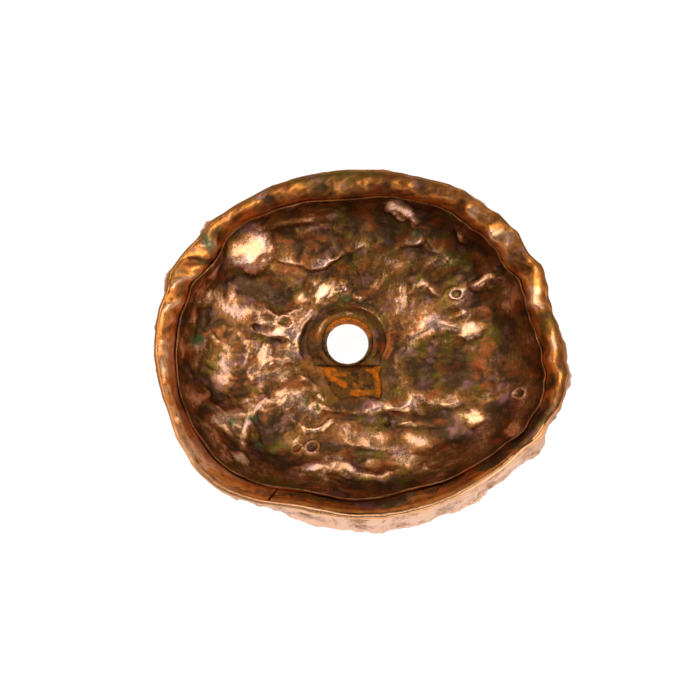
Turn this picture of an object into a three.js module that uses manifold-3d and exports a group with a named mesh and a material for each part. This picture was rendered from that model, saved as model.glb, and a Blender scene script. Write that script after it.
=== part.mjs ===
// Oval hammered copper bowl with a pierced, collared centre.
//
// The bowl is double walled. An outer shell stands on a flat foot, a dished liner sits inside it, and a
// sloping copper strip bridges the gap between the shell's lip and the liner's edge. The strip's two ends
// meet in a butt joint. In the middle the shell's floor is kicked up to the liner, and an iron ferrule runs
// through the shell, the liner and a raised collar and holds them together. A small iron keeper plate lies
// on the liner against the collar.
//
// Every round piece is a section turned on a lathe round the bore, then eased out to the oval plan. Pieces
// that don't overlap in section don't overlap in the bowl, because they all take the same easing.
// Millimetres, +Z up, origin on the table under the middle of the bowl's outline.

import * as THREE from "three";
import { mergeVertices } from "three/addons/utils/BufferGeometryUtils.js";
import Module from "manifold-3d";

const wasm = await Module();
wasm.setup();

// Overall sizes
const bowlLength = 103.6; // of the plain oval, before its swells
const bowlWidth = 91.4; // the same
const bowlHeight = 26;

// Outer shell
const shellWall = 1.5;
const bellyHeight = 14; // the widest line
const lipInset = 1.2; // the lip's outer face, inside the widest line
const footInset = 19; // the foot's outer edge, inside the widest line
const kickHeight = 3; // underside of the raised middle
const kickMargin = 0.25; // the raised middle's flat part, beyond the collar
const kickRun = 5.6; // from there out to the foot
const footCurve = 10.4; // how far the side runs on level from the foot
const sideCurve = 9; // and how far below the widest line it stands upright

// Liner
const linerWall = 1;
const floorMargin = 0.25; // the liner's flat floor, beyond the keeper plate
const linerEdgeDrop = 4.4; // the liner's edge, below the lip

// Rim strip
const stripWidth = 2.7;
const stripWall = 1;
const stripFall = 3.2; // how far it slopes down on its way in
const stripDrop = 1.0; // its upper edge, below the lip
const jointAngle = 241; // degrees from +X, where its ends meet
const jointGap = 0.5;

// Ferrule, collar and keeper plate
const boreRadius = 5.3; // at the throat, the ferrule's narrowest place
const throatHeight = 5;
const ferruleWall = 0.8;
const flareOut = 0.8; // how far the ferrule opens at its top
const flareDepth = 1.2; // how deep it is countersunk in the collar
const mouthOut = 0.5; // how far it opens at its bottom
const ferruleFlangeWidth = 1.75;
const ferruleFlangeWall = 0.8;
const collarWidth = 3.75;
const collarHeight = 2;
const collarSlope = { width: 2.6, height: 1.6 }; // its rounded outer side
const keeperLength = 15.5;
const keeperWidth = 8.4;
const keeperWall = 0.9;
const keeperOffset = { x: 0.8, y: -10.2 }; // the plate's middle, from the bore
const keeperCorner = 1.2;

// Plan shape
const boreOffset = { x: -2.7, y: 4 }; // the bore, from the middle of the oval
const ovalRun = 22; // past the collar, the plan takes this far to go from round to oval
const bodySwells = [
  { at: 220, swell: 1.5, spread: 16 },
  { at: 250, swell: -1.2, spread: 14 },
  { at: 345, swell: 1.6, spread: 18 },
  { at: 9, swell: -1.5, spread: 12 },
  { at: 54, swell: 0.8, spread: 14 },
];
const lipSwells = [
  { at: 228, swell: 2.2, spread: 20 },
  { at: 345, swell: 1, spread: 14 },
];
const ledgeSwells = [
  { at: 32, swell: -1, spread: 16 },
  { at: 95, swell: -1.3, spread: 12 },
  { at: 133, swell: 1.1, spread: 9 },
  { at: 151, swell: -1.5, spread: 8 },
  { at: 199, swell: 1.1, spread: 12 },
  { at: 289, swell: -1.2, spread: 12 },
  { at: 333, swell: 1.1, spread: 12 },
];

const clearance = 0.3; // between pieces that touch
const ringSteps = 48;
const curveSteps = 5;
const lipSteps = 4;

// Levels and radii that follow from the sizes above
const meanRadius = (bowlLength + bowlWidth) / 4;
const lipRadius = meanRadius - lipInset;
const footRadius = meanRadius - footInset;
const stripOuter = lipRadius - shellWall - clearance;
const stripInner = stripOuter - stripWidth;
const linerEdgeRadius = stripInner - clearance - linerWall;
const linerTop = kickHeight + shellWall + clearance + linerWall;
const linerEdgeTop = bowlHeight - linerEdgeDrop;
const ferruleRadius = boreRadius + ferruleWall;
const passRadius = ferruleRadius + clearance;
const collarBase = linerTop + clearance;
const collarTop = collarBase + collarHeight;
const collarRadius = passRadius + collarWidth;
const kickTopRadius = collarRadius + kickMargin;
const kickRadius = kickTopRadius + kickRun; // the foot's inner edge
const keeperReach = Math.hypot(
  Math.abs(keeperOffset.x) + keeperLength / 2, Math.abs(keeperOffset.y) + keeperWidth / 2,
);
const flatFloorRadius = keeperReach + floorMargin;
const flangeTop = kickHeight - clearance;
const flareRadius = ferruleRadius + flareOut;

const radians = THREE.MathUtils.degToRad;
const smooth = THREE.MathUtils.smoothstep;
const point = (x, y) => new THREE.Vector2(x, y);

// The sum of soft bumps round the plan, each centred on an angle in degrees.
function swellAt(angle, swells) {
  let sum = 0;
  for (const { at, swell, spread } of swells) {
    const turn = angle - radians(at);
    const away = Math.atan2(Math.sin(turn), Math.cos(turn)) / radians(spread);
    sum += swell * Math.exp(-away * away);
  }
  return sum;
}

// How far the oval stands outside the mean circle at this angle.
function ovalReach(angle) {
  const across = (2 * Math.cos(angle)) / bowlLength;
  const along = (2 * Math.sin(angle)) / bowlWidth;
  return 1 / Math.hypot(across, along) - meanRadius + swellAt(angle, bodySwells);
}

// Moves a point of a turned piece to its place in the oval bowl.
function easeToOval(angle, radius, height) {
  const share = smooth(radius, collarRadius, collarRadius + ovalRun);
  const rise = smooth(height, bellyHeight, bowlHeight);
  const nearLedge =
    smooth(height, bellyHeight, linerEdgeTop) *
    smooth(radius, flatFloorRadius, stripInner) *
    (1 - smooth(radius, stripInner, stripOuter));
  const sideReach = ovalReach(angle) + rise * swellAt(angle, lipSwells);
  const reach = radius + share * sideReach + nearLedge * swellAt(angle, ledgeSwells);
  const x = boreOffset.x * (1 - share) + reach * Math.cos(angle);
  const y = boreOffset.y * (1 - share) + reach * Math.sin(angle);
  return new THREE.Vector3(x, y, height);
}

// A closed section of (radius, height) points, turned and eased to the oval.
function turned(section) {
  const geometry = new THREE.LatheGeometry([...section, section[0]], ringSteps);
  geometry.rotateX(Math.PI / 2);
  const position = geometry.getAttribute("position");
  for (let i = 0; i < position.count; i++) {
    const x = position.getX(i);
    const y = position.getY(i);
    const spot = easeToOval(Math.atan2(y, x), Math.hypot(x, y), position.getZ(i));
    position.setXYZ(i, spot.x, spot.y, spot.z);
  }
  return geometry;
}

// The points of several curves, end to end.
function chain(...curves) {
  const found = [];
  for (const curve of curves) {
    const steps = curve.isLineCurve ? 1 : curveSteps;
    const points = curve.getPoints(steps);
    found.push(...(found.length ? points.slice(1) : points));
  }
  return found;
}

// The same line of points, moved to its left by a wall's thickness.
function offsetLine(points, wall) {
  return points.map((p, i) => {
    const before = points[Math.max(i - 1, 0)];
    const after = points[Math.min(i + 1, points.length - 1)];
    const along = after.clone().sub(before).normalize();
    return point(p.x - along.y * wall, p.y + along.x * wall);
  });
}

function solidOf(geometry) {
  const bare = geometry.clone();
  bare.deleteAttribute("normal");
  bare.deleteAttribute("uv");
  const merged = mergeVertices(bare, 1e-3);
  const vertProperties = new Float32Array(merged.getAttribute("position").array);
  const triVerts = new Uint32Array(merged.index.array);
  return new wasm.Manifold(new wasm.Mesh({ numProp: 3, vertProperties, triVerts }));
}

function geometryOf(solid) {
  const { vertProperties, triVerts } = solid.getMesh();
  const geometry = new THREE.BufferGeometry();
  geometry.setAttribute("position", new THREE.BufferAttribute(vertProperties, 3));
  geometry.setIndex(new THREE.BufferAttribute(triVerts, 1));
  geometry.computeVertexNormals();
  return geometry;
}

function cut(geometry, tool) {
  return geometryOf(solidOf(geometry).subtract(solidOf(tool)));
}

// Raised copper shell: kicked-up middle, flat foot, full belly and a lip drawn in.
function outerShell() {
  const lipSpring = bowlHeight - shellWall / 2; // where the rounded lip starts
  const outside = chain(
    new THREE.LineCurve(point(passRadius, kickHeight), point(kickTopRadius, kickHeight)),
    new THREE.CubicBezierCurve(
      point(kickTopRadius, kickHeight),
      point((kickTopRadius + kickRadius) / 2, kickHeight),
      point((kickTopRadius + kickRadius) / 2, 0),
      point(kickRadius, 0),
    ),
    new THREE.LineCurve(point(kickRadius, 0), point(footRadius, 0)),
    new THREE.CubicBezierCurve(
      point(footRadius, 0),
      point(footRadius + footCurve, 0),
      point(meanRadius, bellyHeight - sideCurve),
      point(meanRadius, bellyHeight),
    ),
    new THREE.CubicBezierCurve(
      point(meanRadius, bellyHeight),
      point(meanRadius, (bellyHeight * 2 + lipSpring) / 3),
      point(lipRadius, (bellyHeight + lipSpring * 2) / 3),
      point(lipRadius, lipSpring),
    ),
  );
  const inside = offsetLine(outside, shellWall);
  const lip = new THREE.EllipseCurve(
    lipRadius - shellWall / 2, lipSpring, shellWall / 2, shellWall / 2, 0, Math.PI,
  );
  const lipPoints = lip.getPoints(lipSteps).slice(1, -1);
  return turned([...outside, ...lipPoints, ...inside.reverse()]);
}

// Dished liner: flat round the collar, rising to an upright edge.
function innerLiner() {
  const top = chain(
    new THREE.LineCurve(point(passRadius, linerTop), point(flatFloorRadius, linerTop)),
    new THREE.CubicBezierCurve(
      point(flatFloorRadius, linerTop),
      point((flatFloorRadius + linerEdgeRadius) / 2, linerTop),
      point(linerEdgeRadius, (linerTop + linerEdgeTop) / 2),
      point(linerEdgeRadius, linerEdgeTop),
    ),
  );
  const under = offsetLine(top, -linerWall);
  return turned([...under, ...top.reverse()]);
}

// Sloping strip between the lip and the liner, cut through at its butt joint.
function rimStrip() {
  const upper = bowlHeight - stripDrop;
  const lower = upper - stripFall;
  const top = new THREE.QuadraticBezierCurve(
    point(stripInner, lower),
    point(stripInner + stripWidth * 0.35, upper - stripFall * 0.35),
    point(stripOuter, upper),
  ).getPoints(curveSteps);
  const under = top.map((p) => point(p.x, p.y - stripWall));
  const ring = turned([...under, ...top.reverse()]);

  const angle = radians(jointAngle);
  const slot = new THREE.BoxGeometry(bowlLength, jointGap, bowlHeight);
  slot.rotateZ(angle);
  slot.translate(
    (Math.cos(angle) * bowlLength) / 2, (Math.sin(angle) * bowlLength) / 2, bowlHeight,
  );
  return cut(ring, slot);
}

// Raised ring round the bore: countersunk for the ferrule's flare, and open where the keeper plate lies.
function boreCollar() {
  const side = new THREE.EllipseCurve(
    collarRadius - collarSlope.width, collarTop - collarSlope.height,
    collarSlope.width, collarSlope.height, 0, Math.PI / 2,
  );
  const ring = turned([
    point(passRadius, collarBase),
    point(collarRadius, collarBase),
    ...side.getPoints(curveSteps),
    point(passRadius + flareOut, collarTop),
    point(passRadius, collarTop - flareDepth),
  ]);
  const opening = keeperBlank(clearance, bowlHeight);
  opening.translate(0, 0, -bowlHeight / 2);
  return cut(ring, opening);
}

// Iron tube through the middle: flanged under the shell, flared in the collar, narrowest at its throat.
function boreFerrule() {
  return turned([
    point(boreRadius + mouthOut, flangeTop - ferruleFlangeWall),
    point(ferruleRadius + ferruleFlangeWidth, flangeTop - ferruleFlangeWall),
    point(ferruleRadius + ferruleFlangeWidth, flangeTop),
    point(ferruleRadius, flangeTop),
    point(ferruleRadius, collarTop - flareDepth),
    point(flareRadius, collarTop),
    point(boreRadius + flareOut, collarTop),
    point(boreRadius, throatHeight),
  ]);
}

// The keeper plate's rounded rectangle, larger all round by "grow", as a slab on the liner.
function keeperBlank(grow, depth) {
  const right = keeperLength / 2 - keeperCorner;
  const top = keeperWidth / 2 - keeperCorner;
  const corner = keeperCorner + grow;
  const outline = new THREE.Shape();
  outline.absarc(right, top, corner, 0, Math.PI / 2);
  outline.absarc(-right, top, corner, Math.PI / 2, Math.PI);
  outline.absarc(-right, -top, corner, Math.PI, Math.PI * 1.5);
  outline.absarc(right, -top, corner, Math.PI * 1.5, Math.PI * 2);
  const options = { depth, bevelEnabled: false, curveSegments: 4 };
  const blank = new THREE.ExtrudeGeometry(outline, options);
  blank.translate(boreOffset.x + keeperOffset.x, boreOffset.y + keeperOffset.y, collarBase);
  return blank;
}

// Small iron plate on the liner, in the collar's opening, with a bay that clears the ferrule.
function keeperPlate() {
  const bayRadius = flareRadius + clearance;
  const bay = new THREE.CylinderGeometry(bayRadius, bayRadius, bowlHeight, ringSteps);
  bay.rotateX(Math.PI / 2);
  bay.translate(boreOffset.x, boreOffset.y, collarBase);
  return cut(keeperBlank(0, keeperWall), bay);
}

const copper = { color: 0x8a5a36, roughness: 0.42, metalness: 1 };
const bareCopper = { color: 0xa9683c, roughness: 0.36, metalness: 1 };
const rustyIron = { color: 0x8a4a1a, roughness: 0.85, metalness: 0.2 };

const pieces = [
  ["outer_shell", outerShell(), copper],
  ["inner_liner", innerLiner(), copper],
  ["rim_strip", rimStrip(), bareCopper],
  ["bore_collar", boreCollar(), copper],
  ["bore_ferrule", boreFerrule(), rustyIron],
  ["keeper_plate", keeperPlate(), rustyIron],
];

const bowl = new THREE.Group();
for (const [name, geometry, finish] of pieces) {
  const mesh = new THREE.Mesh(geometry, new THREE.MeshStandardMaterial(finish));
  mesh.name = name;
  bowl.add(mesh);
}

// The oval's swells move the outline's middle, so the bowl is moved back onto its origin.
const outline = new THREE.Box3().setFromObject(bowl);
const middle = outline.getCenter(new THREE.Vector3());
bowl.position.set(-middle.x, -middle.y, -outline.min.z);

export default bowl;
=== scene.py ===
# Oval hammered copper bowl with a pierced, collared centre: the looks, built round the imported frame.
# Sizes are in millimetres and degrees unless a note says otherwise.
import math

import bpy
import numpy as np
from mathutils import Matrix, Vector, noise


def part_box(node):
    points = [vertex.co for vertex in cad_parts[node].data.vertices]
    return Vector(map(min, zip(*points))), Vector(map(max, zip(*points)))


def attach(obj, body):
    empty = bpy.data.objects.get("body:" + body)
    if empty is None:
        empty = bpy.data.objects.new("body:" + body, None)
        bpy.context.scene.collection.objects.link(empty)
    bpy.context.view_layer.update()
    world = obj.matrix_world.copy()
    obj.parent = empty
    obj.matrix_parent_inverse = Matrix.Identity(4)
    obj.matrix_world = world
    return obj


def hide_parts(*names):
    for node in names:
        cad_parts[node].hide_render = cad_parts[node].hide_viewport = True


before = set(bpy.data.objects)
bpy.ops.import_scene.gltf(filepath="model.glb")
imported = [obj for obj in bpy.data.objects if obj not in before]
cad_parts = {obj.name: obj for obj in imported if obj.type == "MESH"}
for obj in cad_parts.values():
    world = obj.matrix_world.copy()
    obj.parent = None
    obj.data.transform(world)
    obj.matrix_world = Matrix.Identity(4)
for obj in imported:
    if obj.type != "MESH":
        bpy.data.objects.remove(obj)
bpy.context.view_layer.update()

mm = 0.001
fullTurn = 2 * math.pi

# The plan is the CAD's own: round at the bore, then eased out to an uneven oval.
plan = {
    "length": 103.6,
    "width": 91.4,
    "boreFromOval": (-2.7, 4.0),
    "roundInside": 10.15,
    "ovalOutside": 32.15,
    "bellyHeight": 14.0,
    "lipHeight": 26.0,
    # each swell is (where in degrees, how far, how wide in degrees)
    "bodySwells": [(220, 1.5, 16), (250, -1.2, 14), (345, 1.6, 18), (9, -1.5, 12), (54, 0.8, 14)],
    "lipSwells": [(228, 2.2, 20), (345, 1.0, 14)],
    "ledgeSwells": [
        (32, -1.0, 16), (95, -1.3, 12), (133, 1.1, 9), (151, -1.5, 8),
        (199, 1.1, 12), (289, -1.2, 12), (333, 1.1, 12),
    ],
    "ledgeRadii": (17.0, 42.75, 45.45),
    "ledgeHeight": 21.6,
    "wobble": 0.22,
    "wobbleSize": 0.14,  # of the circle's radius
    "wobbleSwells": [(30, 1.1, 34), (150, 0.5, 22), (345, 0.8, 20)],
}

boreLow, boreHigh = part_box("bore_ferrule")
boreCentre = ((boreLow + boreHigh) / 2 / mm)[:2]
ovalCentre = [boreCentre[i] - plan["boreFromOval"][i] for i in range(2)]
meanRadius = (plan["length"] + plan["width"]) / 4


def smoothStep(value, start, end):
    share = np.clip((value - start) / (end - start), 0, 1)
    return share * share * (3 - 2 * share)


def swellAt(angle, swells):
    total = np.zeros_like(angle)
    for at, swell, spread in swells:
        turn = angle - math.radians(at)
        away = np.arctan2(np.sin(turn), np.cos(turn)) / math.radians(spread)
        total += swell * np.exp(-away * away)
    return total


def noiseAt(points, size, octaves, seed):
    # smooth noise from about -1 to 1 at each point; size is the largest feature's
    flat = np.asarray(points, float).reshape(-1, 3) / size + seed * 17.3
    found = [noise.fractal(Vector(p), 1.0, 2.0, octaves) for p in flat.tolist()]
    return np.array(found).reshape(np.shape(points)[:-1])


def strayed(grid, *pulls):
    # where each point reads its marks from; a pull is an amount, a size, octaves and two seeds
    x, y = grid[..., 0], grid[..., 1]
    for amount, size, octaves, seedX, seedY in pulls:
        x = x + amount * noiseAt(grid, size, octaves, seedX)
        y = y + amount * noiseAt(grid, size, octaves, seedY)
    return x, y


def ringPoints(radius, angle, height, centre=(0, 0)):
    x = centre[0] + radius * np.cos(angle)
    y = centre[1] + radius * np.sin(angle)
    return np.stack([x, y, height + 0 * angle], -1)


def wobbleAt(angle):
    shake = noiseAt(ringPoints(1, angle, 0), plan["wobbleSize"], 2, seed=3)
    return shake * (plan["wobble"] + swellAt(angle, plan["wobbleSwells"]))


def easeToOval(angle, radius, height, wobble):
    # moves a point of a turned piece to its place in the oval bowl
    flat, ledge, lip = plan["ledgeRadii"]
    across = 2 * np.cos(angle) / plan["length"]
    along = 2 * np.sin(angle) / plan["width"]
    reach = 1 / np.hypot(across, along) - meanRadius + swellAt(angle, plan["bodySwells"])
    rise = smoothStep(height, plan["bellyHeight"], plan["lipHeight"])
    reach += rise * swellAt(angle, plan["lipSwells"]) + wobble
    share = smoothStep(radius, plan["roundInside"], plan["ovalOutside"])
    nearLedge = smoothStep(height, plan["bellyHeight"], plan["ledgeHeight"])
    nearLedge = nearLedge * smoothStep(radius, flat, ledge) * (1 - smoothStep(radius, ledge, lip))
    reach = radius + share * reach + nearLedge * swellAt(angle, plan["ledgeSwells"])
    centre = [ovalCentre[i] + plan["boreFromOval"][i] * (1 - share) for i in range(2)]
    return ringPoints(reach, angle, height, centre)


def bezier(points, steps):
    t = np.linspace(0, 1, steps)[:, None]
    a, b, c, d = (np.array(p, float) for p in points)
    return a * (1 - t) ** 3 + 3 * b * (1 - t) ** 2 * t + 3 * c * (1 - t) * t * t + d * t ** 3


def respaced(line, count):
    # the same line with evenly spaced points
    line = np.asarray(line, float)
    run = np.r_[0, np.cumsum(np.hypot(*np.diff(line, axis=0).T))]
    at = np.linspace(0, run[-1], count)
    return np.stack([np.interp(at, run, line[:, i]) for i in range(2)], -1)


def leftNormals(line):
    step = np.gradient(line, axis=0)
    step /= np.hypot(*step.T)[:, None]
    return np.stack([-step[:, 1], step[:, 0]], -1)


def turnedGrid(section, angles, push=None):
    # section points turned round the bore: an array of rows, each a ring of points
    a = angles[None, :] + 0 * section[:, :1]
    radius = section[:, :1] + 0 * a
    height = section[:, 1:] + 0 * a
    if push is not None:
        normal, amount = push
        radius = radius + normal[:, :1] * amount
        height = height + normal[:, 1:] * amount
    return easeToOval(a, radius, height, wobbleAt(angles)[None, :])


def drawIn(rows, angles, amount):
    # moves the points of a grid towards the bore
    rows[..., 0] -= amount * np.cos(angles)
    rows[..., 1] -= amount * np.sin(angles)


def addObject(name, data):
    made = bpy.data.objects.new(name, data)
    bpy.context.scene.collection.objects.link(made)
    return made


def addPiece(name, points, faces):
    mesh = bpy.data.meshes.new(name)
    mesh.from_pydata((points * mm).tolist(), [], faces)
    mesh.shade_smooth()
    return addObject(name, mesh)


def gridMesh(name, rows, closedRound=True):
    # rows wrap into a closed body: the last joins the first, and each ring joins up unless it is open
    count, around = rows.shape[:2]
    index = np.arange(count * around).reshape(count, around)
    below, above = index, np.roll(index, -1, 0)
    if closedRound:
        quads = [below, np.roll(below, -1, 1), np.roll(above, -1, 1), above]
    else:
        quads = [below[:, :-1], below[:, 1:], above[:, 1:], above[:, :-1]]
    faces = np.stack([q.ravel() for q in quads], -1)
    points = rows.reshape(-1, 3)
    corner = points[faces[:, 0]]
    middle = np.cross(points[faces[:, 1]] - corner, points[faces[:, 2]] - corner)
    if (corner * middle).sum() < 0:
        faces = faces[:, ::-1]
    faces = faces.tolist()
    if not closedRound:
        ends = [index[:, 0].tolist(), index[:, -1][::-1].tolist()]
        if faces[0][0] > faces[0][-1]:
            ends = [e[::-1] for e in ends]
        faces += ends
    return addPiece(name, points, faces)


def paint(piece, name, values):
    layer = piece.data.attributes.new(name, "FLOAT", "POINT")
    layer.data.foreach_set("value", np.asarray(values, np.float32).ravel())


def blurred(values, rowsWide, roundWide):
    # two passes of a box filter, which ends at the first and last rows and goes on round each ring
    for _ in range(2):
        for axis, wide in ((0, rowsWide), (1, roundWide)):
            mode = "edge" if axis == 0 else "wrap"
            pad = [(wide, wide), (0, 0)] if axis == 0 else [(0, 0), (wide, wide)]
            run = np.cumsum(np.pad(values, pad, mode=mode), axis=axis)
            size = 2 * wide + 1
            first = np.take(run, range(size - 1, run.shape[axis]), axis=axis)
            last = np.take(run, range(0, run.shape[axis] - size), axis=axis)
            lead = np.zeros_like(np.take(first, [0], axis=axis))
            values = (first - np.concatenate([lead, last], axis=axis)) / size
    return values


def strokeAt(x, y, points):
    # distance to a line of points, positive on its left, and how far along it the nearest place is
    best = np.full(x.shape, 1e9)
    side = np.zeros_like(x)
    along = np.zeros_like(x)
    spans = list(zip(points[:-1], points[1:]))
    for i, ((ax, ay), (bx, by)) in enumerate(spans):
        dx, dy = bx - ax, by - ay
        t = np.clip(((x - ax) * dx + (y - ay) * dy) / (dx * dx + dy * dy), 0, 1)
        away = np.hypot(x - ax - t * dx, y - ay - t * dy)
        near = away < best
        best = np.where(near, away, best)
        side = np.where(near, np.sign(dx * (y - ay) - dy * (x - ax)), side)
        along = np.where(near, (i + t) / len(spans), along)
    return best * side, along


def ovalWindow(x, y, spot):
    # 0 at the middle of a turned oval and 1 at its edge
    cx, cy, long, wide, turn = spot
    c, s = math.cos(math.radians(turn)), math.sin(math.radians(turn))
    u = ((x - cx) * c + (y - cy) * s) / long
    v = (-(x - cx) * s + (y - cy) * c) / wide
    return np.sqrt(u * u + v * v)


def hammerBlows(x, y, spacing, depth, reach, seed):
    # each blow leaves a shallow dish, and the surface is the lowest dish at each place
    rng = np.random.default_rng(seed)
    line = np.arange(-reach, reach, spacing)
    cx, cy = np.meshgrid(line, line)
    cx[::2] += spacing / 2
    cx = (cx + rng.uniform(-0.42, 0.42, cx.shape) * spacing).ravel()
    cy = (cy + rng.uniform(-0.42, 0.42, cy.shape) * spacing).ravel()
    rest = rng.uniform(-0.5, 0.5, cx.size) * depth
    curve = depth / (0.5 * spacing) ** 2 * rng.uniform(0.6, 1.3, cx.size)
    sharp = 4 / depth
    total = np.zeros_like(x)
    for i in range(cx.size):
        apart = (x - cx[i]) ** 2 + (y - cy[i]) ** 2
        near = apart < (2.2 * spacing) ** 2
        total[near] += np.exp(-sharp * (curve[i] * apart[near] + rest[i]))
    return -np.log(total + 1e-9) / sharp - depth


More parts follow.
